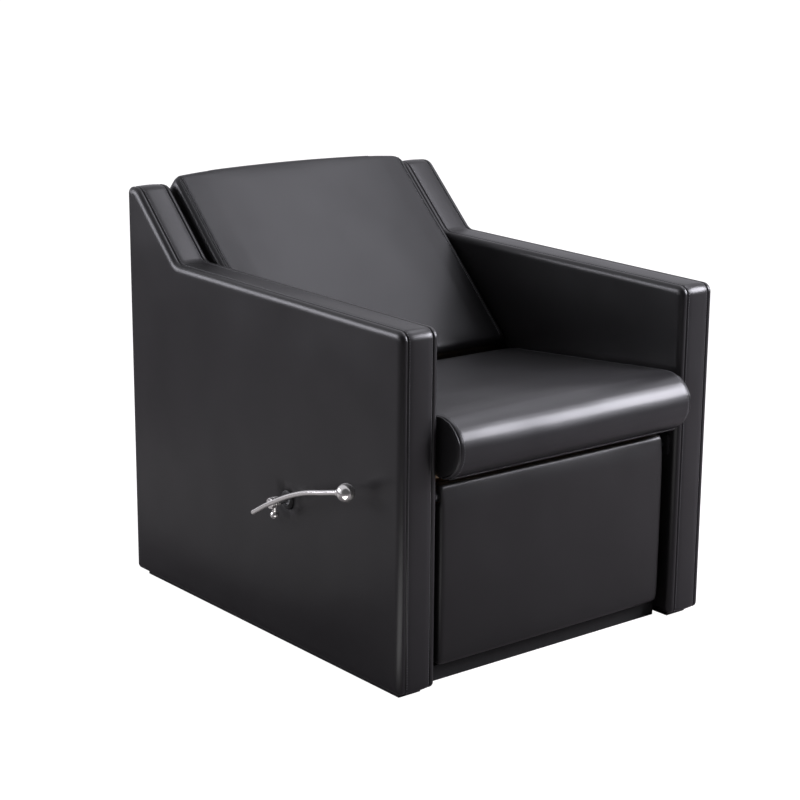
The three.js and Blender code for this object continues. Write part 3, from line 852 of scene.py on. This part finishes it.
def makeSeat():
    slack = seat["slack"]
    r = seat["radius"] - slack
    front = seat["noseY"] - r
    bm = bmesh.new()
    face = roundedFace(
        bm,
        [
            (front, seat["noseZ"] - r, r - 0.3),
            (seat["step"], seat["noseZ"] - r, 0),
            (seat["step"], seat["boardTop"], 0),
            (seat["rearY"], seat["boardTop"], 4),
            (seat["rearY"], seat["rearTop"], 12),
            (front, seat["noseZ"] + r + 1.5, r + 0.2),
        ],
        -seat["halfWidth"],
    )
    extrudeX(bm, [face], 2 * seat["halfWidth"])
    for x in (-seat["halfWidth"], seat["halfWidth"]):
        bevelEdges(bm, edgesAt(bm, 0, x), 3, 2)

    def held(p):
        below = smooth(-p.z, -seat["boardTop"] - 6, -seat["boardTop"] + 2) if p.y > 5 else 0
        endSeam = 1 - smooth(seat["halfWidth"] - abs(p.x), 3, 9)
        nearEdge = math.hypot(p.y - seat["noseY"], p.z - seat["noseZ"]) > r - 8 or p.y > seat["noseY"]
        return max(below, 0.85 * endSeam if nearEdge else 0)

    mesh = stuff(bm, "seat_cushion_cover", seat, held)
    tree = surfaceOf(mesh)
    piece = settle(mesh, "seat_cushion_cover", litSeatLeather, "chair_frame", ["seat_cushion"])

    def endPath(x, reach):
        points = []
        for degrees in range(-80, 91, 3):
            turn = math.radians(degrees)
            points.append(
                Vector((x, seat["noseY"] - reach * math.cos(turn), seat["noseZ"] + reach * math.sin(turn)))
            )
        for y in range(20, 400, 10):
            points.append(Vector((x, y, seat["noseZ"] + reach - (y - seat["noseY"]) * 0.088)))
        return points

    def centre(point):
        y = max(point.y, seat["noseY"])
        return Vector((point.x, y, seat["noseZ"] - 20 * smooth(y, 20, 200)))

    cordBm = bmesh.new()
    rows = []
    for sign in (-1, 1):
        edge = endPath(sign * (seat["halfWidth"] - 1.5), seat["radius"] + 20)
        pipeMesh(cordBm, layOn(tree, edge, centre), seat["piping"], 1.0)
        inner = endPath(sign * (seat["halfWidth"] - seat["secondSeam"]), seat["radius"] + 20)
        rows.append(layOn(tree, inner, centre))
    # a welt along the underside of the roll
    turn = math.radians(-68)
    under = [
        Vector((x, seat["noseY"] - 80 * math.cos(turn), seat["noseZ"] + 80 * math.sin(turn)))
        for x in range(-250, 251, 10)
    ]
    welt = layOn(tree, under, lambda p: Vector((p.x, seat["noseY"], seat["noseZ"])))
    pipeMesh(cordBm, welt, 1.4, 0.6)
    finishPiece(cordBm, "seat_piping", litSeatLeather, "chair_frame", [])
    sewOn("seat_topstitch", rows, "chair_frame")


makeSeat()

# ---- back ----

back = {
    "footY": 427,
    "footZ": 430,
    "lean": math.radians(46.2),
    "thickness": 42,
    "length": 466,
    "halfWidth": 263.5,
    "arch": 9,  # how far the top corners drop below the middle
    "rounding": (13, 18),  # the lower and the upper corners
    "roll": 11,
    "lumbar": {"swell": 9, "foot": 15, "peak": 150, "ease": 6, "end": 330},
    "slack": 2.0,
    "voxel": 6,
    "pressure": 4.0,
    "stretch": 30,
    "bend": 3,
    "frames": 20,
    "cap": 8,
    "taut": 40,
    "seam": 11,
    "piping": 1.3,
}
fromBack = Matrix.Translation((0, back["footY"], back["footZ"])) @ Matrix.Rotation(-back["lean"], 4, "X")
toBack = fromBack.inverted()


def makeBack():
    slack = back["slack"]
    half = back["halfWidth"] - slack
    top = back["length"] - slack
    foot, crown = back["rounding"]
    bm = bmesh.new()
    face = roundedFace(bm, [(-half, 1, foot), (half, 1, foot), (half, top, crown), (-half, top, crown)], slack)
    extrudeX(bm, [face], back["thickness"] - slack)
    bevelEdges(bm, edgesAt(bm, 0, slack), back["roll"], 7)
    bevelEdges(bm, edgesAt(bm, 0, back["thickness"]), 4, 3)
    sideways = Matrix(((0, 1, 0, 0), (1, 0, 0, 0), (0, 0, 1, 0), (0, 0, 0, 1)))
    bmesh.ops.transform(bm, matrix=sideways, verts=bm.verts[:])
    cutGrid(bm, 0, steps(-half, half, 20))
    cutGrid(bm, 2, steps(20, back["length"] - 20, 15))
    lumbar = back["lumbar"]
    for v in bm.verts:
        drop = back["arch"] * (v.co.x / half) ** 2
        bulge = lumbar["swell"] * smooth(v.co.z, lumbar["foot"], lumbar["peak"])
        bulge -= lumbar["ease"] * smooth(v.co.z, lumbar["peak"] + 30, lumbar["end"])
        bulge *= 0.35 + 0.65 * smooth(half - abs(v.co.x), 5, 70)
        v.co.y -= bulge * (1 - smooth(v.co.y, 12, 36))
        v.co.z -= drop * smooth(v.co.z, back["length"] * 0.6, back["length"])
    bmesh.ops.transform(bm, matrix=fromBack, verts=bm.verts[:])

    def held(p):
        q = toBack @ p
        behind = smooth(q.y, back["thickness"] - 9, back["thickness"] - 2)
        seamLine = 1 - smooth(abs(abs(q.x) - (half - back["seam"])), 1.5, 7)
        return max(behind, 0.8 * seamLine if q.y < 12 else 0)

    mesh = stuff(bm, "back_cushion_cover", back, held)
    for v in mesh.vertices:  # the seams are drawn into the cover
        q = toBack @ (toChair @ v.co)
        off = abs(abs(q.x) - (half - back["seam"]))
        if q.y < 12 and off < 6:
            v.co = toFrame @ (fromBack @ (q + Vector((0, 1.1 * math.exp(-((off / 2.2) ** 2)), 0))))
    tree = surfaceOf(mesh)
    piece = settle(mesh, "back_cushion_cover", shadedBackLeather, "backrest", ["back_cushion"])

    rows = []
    cordBm = bmesh.new()
    for sign in (-1, 1):
        for inset, sewn in ((back["seam"] + stitch["fromSeam"] + 1, True), (back["seam"], False)):
            across = sign * (half - inset)
            heights = range(14, round(back["length"]) - 16, 8)
            points = [fromBack @ Vector((across, -40, z)) for z in heights]
            laid = layOn(tree, points, lambda p: p + fromBack.to_3x3() @ Vector((0, 40, 0)))
            if sewn:
                rows.append(laid)
            else:
                pipeMesh(cordBm, laid, back["piping"], 1.1)
    finishPiece(cordBm, "back_piping", shadedBackLeather, "backrest", [])
    sewOn("back_topstitch", rows, "backrest")

    bm = bmesh.new()
    low, high = 5, 431
    half = 256
    front = back["thickness"] + 12.7
    rear = front + 6.8
    face = roundedFace(bm, [(front, low, 1), (rear, low, 3), (rear, high, 3), (front, high, 1)], -half)
    extrudeX(bm, [face], 2 * half)
    for x in (-half, half):
        bevelEdges(bm, [e for e in edgesAt(bm, 0, x) if all(v.co.y > front + 3 for v in e.verts)], 2.6, 4)
    cutGrid(bm, 0, steps(-250, 250, 25))
    cutGrid(bm, 2, steps(10, 425, 25))
    for v in bm.verts:
        if v.co.y > rear - 0.1:
            fill = smooth(min(half - abs(v.co.x), v.co.z - low, high - v.co.z), 2, 60)
            v.co.y += 1.2 * fill + 0.4 * fill * ripple(v.co.x, v.co.z, 4.4, 120)
    bmesh.ops.transform(bm, matrix=fromBack, verts=bm.verts[:])
    panel = finishPiece(bm, "back_rear_panel", shadedBackLeather, "backrest", ["back_rear_cover"])


makeBack()

# ---- leg rest ----

legRest = {
    "halfWidth": 249.5,
    "front": 10,
    "rear": 39.8,
    "bottom": 33,
    "top": 337,
    "corner": 14,
    "fall": {"from": 298, "depth": 4.2},  # how the face leans back under the seat
    "sideFall": 0.8,
    "grooveFront": 21.5,
    "grooveBottom": 303,
    "grooveTop": 326.7,
    "slack": 2.5,
    "voxel": 5,
    "pressure": 4.0,
    "stretch": 40,
    "bend": 4,
    "frames": 20,
    "cap": 3,
    "taut": 70,
}


def makeLegRest():
    d = legRest
    front = d["front"] + d["slack"]
    bm = bmesh.new()
    face = roundedFace(
        bm,
        [
            (front, d["bottom"], 0),
            (d["rear"], d["bottom"], 0),
            (d["rear"], d["grooveBottom"], 0),
            (d["grooveFront"], d["grooveBottom"], 0),
            (d["grooveFront"], d["grooveTop"], 0),
            (d["rear"], d["grooveTop"], 0),
            (d["rear"], d["top"], 0),
            (front, d["top"], 0),
        ],
        -d["halfWidth"],
    )
    extrudeX(bm, [face], 2 * d["halfWidth"])
    corners = [
        e
        for e in bm.edges
        if all(abs(v.co.z - d["bottom"]) < 0.1 and abs(abs(v.co.x) - d["halfWidth"]) < 0.1 for v in e.verts)
    ]
    bevelEdges(bm, corners, d["corner"], 6)
    bevelEdges(bm, edgesAt(bm, 1, front), 4, 5)
    cutGrid(bm, 0, steps(-d["halfWidth"] + 6, d["halfWidth"] - 6, 12))
    cutGrid(bm, 2, steps(d["fall"]["from"] - 5, d["top"] - 4, 5))
    for v in bm.verts:
        if v.co.y < front + 4.1:
            up = max(0, v.co.z - d["fall"]["from"]) / (d["top"] - d["fall"]["from"])
            v.co.y += d["fall"]["depth"] * up**1.6
            v.co.y += d["sideFall"] * smooth(abs(v.co.x), d["halfWidth"] - 85, d["halfWidth"])

    def held(p):
        return smooth(p.y, 17, 23)

    mesh = stuff(bm, "legrest_pad_cover", legRest, held)
    piece = settle(mesh, "legrest_pad_cover", shadedLegLeather, "legrest", ["legrest_pad"])


makeLegRest()

# ---- rear panel ----


def makeRearPanel():
    low, high = nodeBox("rear_panel_cover")
    half = high.x - 1
    bm = bmesh.new()
    face = roundedFace(
        bm,
        [(low.y, low.z, 1), (high.y - 1.5, low.z, 8), (high.y - 1.5, high.z, 9), (low.y, high.z, 6)],
        -half,
    )
    extrudeX(bm, [face], 2 * half)
    for x in (-half, half):
        bevelEdges(bm, [e for e in edgesAt(bm, 0, x) if all(v.co.y > low.y + 2 for v in e.verts)], 6, 5)
    cutGrid(bm, 0, steps(-half, half, 22))
    cutGrid(bm, 2, steps(low.z, high.z, 22))
    for v in bm.verts:
        if v.co.y > high.y - 1.6:
            reach = min(half - abs(v.co.x), v.co.z - low.z, high.z - v.co.z)
            fill = smooth(reach, 8, 90)
            v.co.y += 2.2 * fill + 0.7 * fill * ripple(v.co.x, v.co.z, 2.2, 150)
    piece = finishPiece(bm, "rear_panel_skin", armLeather, "chair_frame", ["rear_panel_cover"])


makeRearPanel()
print("rear panel covered")

# ---- lever ----

lever = {
    "plane": -375,
    "route": [(346, 235), (298, 262), (214, 299), (150, 316), (93, 330)],
    "rod": 4.5,
    "ball": 15,
    "collar": 7,
    "hub": 9.5,
    "screwPlane": -366,
    "screwBall": 7.5,
    "screwDrop": 21,
}


def turned(bm, profile, axis, start, segments=48):
    # a part turned on a lathe: profile (distance along, radius), about a line through start
    direction = Vector(axis).normalized()
    side = direction.orthogonal().normalized()
    start = Vector(start)
    verts = [bm.verts.new(start + direction * d + side * r) for d, r in profile]
    edges = [bm.edges.new(pair) for pair in zip(verts, verts[1:])]
    bmesh.ops.spin(
        bm,
        geom=verts + edges,
        cent=start,
        axis=direction,
        angle=2 * math.pi,
        steps=segments,
        use_merge=True,
    )
    bmesh.ops.remove_doubles(bm, verts=bm.verts[:], dist=0.005)


def halfRound(centre, radius, begin, end, count):
    # lathe profile of part of a ball, between two angles from its axis
    turns = [math.radians(begin + (end - begin) * i / count) for i in range(count + 1)]
    return [(centre - radius * math.cos(t), radius * math.sin(t)) for t in turns]


def makeLever():
    plane = lever["plane"]
    points = [Vector((plane, y, z)) for y, z in lever["route"]]
    curve = roundCurve("rod", lever["rod"], 6)
    curve.resolution_u = 16
    spline = curve.splines.new("BEZIER")
    spline.bezier_points.add(len(points) - 1)
    for knot, p in zip(spline.bezier_points, points):
        knot.co = p
        knot.handle_left_type = knot.handle_right_type = "AUTO"
    bm = bmesh.new()
    addCurve(bm, curve)
    bmesh.ops.create_uvsphere(
        bm, u_segments=24, v_segments=14, radius=lever["rod"] - 0.02, matrix=Matrix.Translation(points[0])
    )
    finishPiece(bm, "lever_rod_polished", finishes["chrome"], "lever", ["lever_rod"], 50)

    end = points[-1]
    towards = (end - points[-2]).normalized()
    ball = lever["ball"]
    bm = bmesh.new()
    profile = [(-ball - 5, lever["rod"]), (-ball - 4.6, lever["collar"] - 0.6), (-ball - 4, lever["collar"])]
    profile += [(-ball - 1, lever["collar"])] + halfRound(0, ball, 28, 180, 26)
    profile[-1] = (profile[-1][0], 0)
    profile = [(-ball - 5, 0)] + profile
    turned(bm, profile, towards, end)
    finishPiece(bm, "lever_ball", finishes["chrome"], "lever", ["lever_knob"], 35)

    hub = Vector((plane, *lever["route"][1]))
    outerEnd, innerEnd = 1.8, -15
    r = lever["hub"]
    bm = bmesh.new()
    profile = [(innerEnd, 0), (innerEnd, r - 0.8), (innerEnd + 0.8, r), (-6.5, r), (-5.9, r - 0.7), (-5.3, r)]
    profile += [(outerEnd - 2, r), (outerEnd - 0.6, r - 0.7), (outerEnd, r - 2.2), (outerEnd, 0)]
    turned(bm, profile, (-1, 0, 0), hub)
    finishPiece(bm, "lever_boss", finishes["chrome"], "lever", ["lever_hub"], 35)

    screw = Vector((lever["screwPlane"], *lever["route"][1]))
    drop = lever["screwDrop"]
    bm = bmesh.new()
    profile = [(6, 0), (6, 3), (12, 3), (12.5, 4.6), (13.8, 4.6)]
    profile += halfRound(drop, lever["screwBall"], 36, 180, 22)
    profile[-1] = (profile[-1][0], 0)
    turned(bm, profile, (0, 0, -1), screw, 32)
    finishPiece(bm, "lever_clamp_ball", finishes["chrome"], "lever", ["lever_clamp_screw"], 35)

    low, high = nodeBox("lever_escutcheon")
    centre = (low + high) / 2
    plate = Vector((high.x, centre.y, centre.z))
    radius = (high.y - low.y) / 2
    bm = bmesh.new()
    profile = [(0, 9), (0, radius), (0.9, radius), (1.7, radius - 0.8), (2.1, radius - 2.4)]
    profile += [(2.7, 11.5), (2.7, 9.6), (2.2, 9)]
    turned(bm, profile + [(0, 9)], (-1, 0, 0), plate, 64)
    finishPiece(
        bm, "lever_shaft_plate", finishes["black_plastic"], "chair_frame", ["lever_escutcheon"], 35
    )


makeLever()
print("lever made")

# ---- floor, light and camera ----

studio = {
    "floor": 24,
    "backdrop": 1.12,  # what the camera sees behind the chair
    "sky": 0.66,  # what lights it
    # the dark parts of the room, near the camera and low in front
    "shades": (
        {"towards": (-60, -75, 27), "from": 0.45, "full": 0.78, "left": 0.1},
        {"towards": (60, -78, 9), "from": 0.8, "full": 0.94, "left": 0.2},
    ),
    "floorGlow": 1.0,
    "key": {"towards": (110, -90, 66), "distance": 2.4, "size": (1.3, 1.0), "power": 85},
    "rim": {"towards": (-75, 62, 29), "distance": 2.77, "size": (1.6, 0.9), "power": 31},
    "top": {"towards": (60, -10, 120), "distance": 2.6, "size": (1.6, 1.0), "power": 14},
    # two white cards on the floor beside the lever arm
    "cards": (
        {"place": (-0.66, -0.62, 0.004), "size": (0.48, 0.6), "power": 1.5},
        {"place": (-0.90, 0.62, 0.004), "size": (0.9, 1.1), "power": 0.62},
    ),
}


def addFloor():
    bm = bmesh.new()
    bmesh.ops.create_grid(bm, x_segments=1, y_segments=1, size=studio["floor"] / 2)
    mesh = bpy.data.meshes.new("studio_floor")
    bm.to_mesh(mesh)
    bm.free()
    paper, tree, shader = newMaterial("floorPaper", {"Roughness": 0.9, "Specular IOR Level": 0.1})
    shader.inputs["Base Color"].default_value = (0.215, 0.2, 0.203, 1)
    shader.inputs["Emission Color"].default_value = (1, 1, 1, 1)
    seen = newNode(tree, "ShaderNodeLightPath")
    glow = newNode(tree, "ShaderNodeMath", {1: studio["floorGlow"]}, operation="MULTIPLY")
    join(
        tree,
        (seen.outputs["Is Camera Ray"], glow.inputs[0]),
        (glow.outputs["Value"], shader.inputs["Emission Strength"]),
    )
    mesh.materials.append(paper)
    floor = bpy.data.objects.new("studio_floor", mesh)
    scene.collection.objects.link(floor)


def addLamp(name, made):
    light = bpy.data.lights.new(name, "AREA")
    light.shape = "RECTANGLE"
    light.size, light.size_y = made["size"]
    light.energy = made["power"]
    lamp = bpy.data.objects.new(name, light)
    lamp.visible_camera = False
    scene.collection.objects.link(lamp)
    return lamp


def addSoftbox(name, made):
    lamp = addLamp(name, made)
    lamp.data.color = (0.97, 0.96, 1.05)
    target = Vector((middleX, 0, 0.4))
    direction = Vector(made["towards"]).normalized()
    lamp.location = target + direction * made["distance"]
    lamp.rotation_euler = direction.to_track_quat("Z", "Y").to_euler()


def addCard(made):
    lamp = addLamp("card", made)
    lamp.location = made["place"]
    lamp.rotation_euler = (math.pi, 0, 0)


def addCamera():
    ahead = Vector((0.60697, 0.75556, -0.24642))
    level = Vector((0.77960, -0.62628, 0))
    upright = Vector((0.15433, 0.19211, 0.96917))
    roll = math.radians(0.438)
    across = level * math.cos(roll) + upright * math.sin(roll)
    upwards = upright * math.cos(roll) - level * math.sin(roll)
    turnedTo = Matrix((across, upwards, -ahead)).transposed()
    camera = bpy.data.cameras.new("camera")
    camera.sensor_width = 36
    camera.lens = 88.2
    camera.clip_start = 0.05
    camera.clip_end = 60
    view = bpy.data.objects.new("camera", camera)
    view.matrix_world = Matrix.Translation((-2.1084, -2.6002, 1.2194)) @ turnedTo.to_4x4()
    scene.collection.objects.link(view)
    scene.camera = view


addFloor()
for name in ("key", "rim", "top"):
    addSoftbox(name, studio[name])
for made in studio["cards"]:
    addCard(made)
addCamera()

world = bpy.data.worlds.new("studio")
world.use_nodes = True
skyTree = world.node_tree
background = skyTree.nodes["Background"]
background.inputs["Color"].default_value = (0.975, 0.965, 1.04, 1)
skySeen = newNode(skyTree, "ShaderNodeLightPath")
way = newNode(skyTree, "ShaderNodeTexCoord")
level = newNode(skyTree, "ShaderNodeValue")
level.outputs["Value"].default_value = studio["sky"]
level = level.outputs["Value"]
for shade in studio["shades"]:
    towards = Vector(shade["towards"]).normalized()
    facing = newNode(skyTree, "ShaderNodeVectorMath", {1: towards}, operation="DOT_PRODUCT")
    dimmed = newNode(
        skyTree,
        "ShaderNodeMapRange",
        {"From Min": shade["from"], "From Max": shade["full"], "To Min": 1.0, "To Max": shade["left"]},
        interpolation_type="SMOOTHSTEP",
    )
    product = newNode(skyTree, "ShaderNodeMath", operation="MULTIPLY")
    join(
        skyTree,
        (way.outputs["Generated"], facing.inputs[0]),
        (facing.outputs["Value"], dimmed.inputs["Value"]),
        (dimmed.outputs["Result"], product.inputs[0]),
        (level, product.inputs[1]),
    )
    level = product.outputs["Value"]
skyLevel = newNode(skyTree, "ShaderNodeMapRange", {"To Max": studio["backdrop"]})
join(
    skyTree,
    (level, skyLevel.inputs["To Min"]),
    (skySeen.outputs["Is Camera Ray"], skyLevel.inputs["Value"]),
    (skyLevel.outputs["Result"], background.inputs["Strength"]),
)
scene.world = world
scene.view_settings.view_transform = "Standard"
print("studio lit")
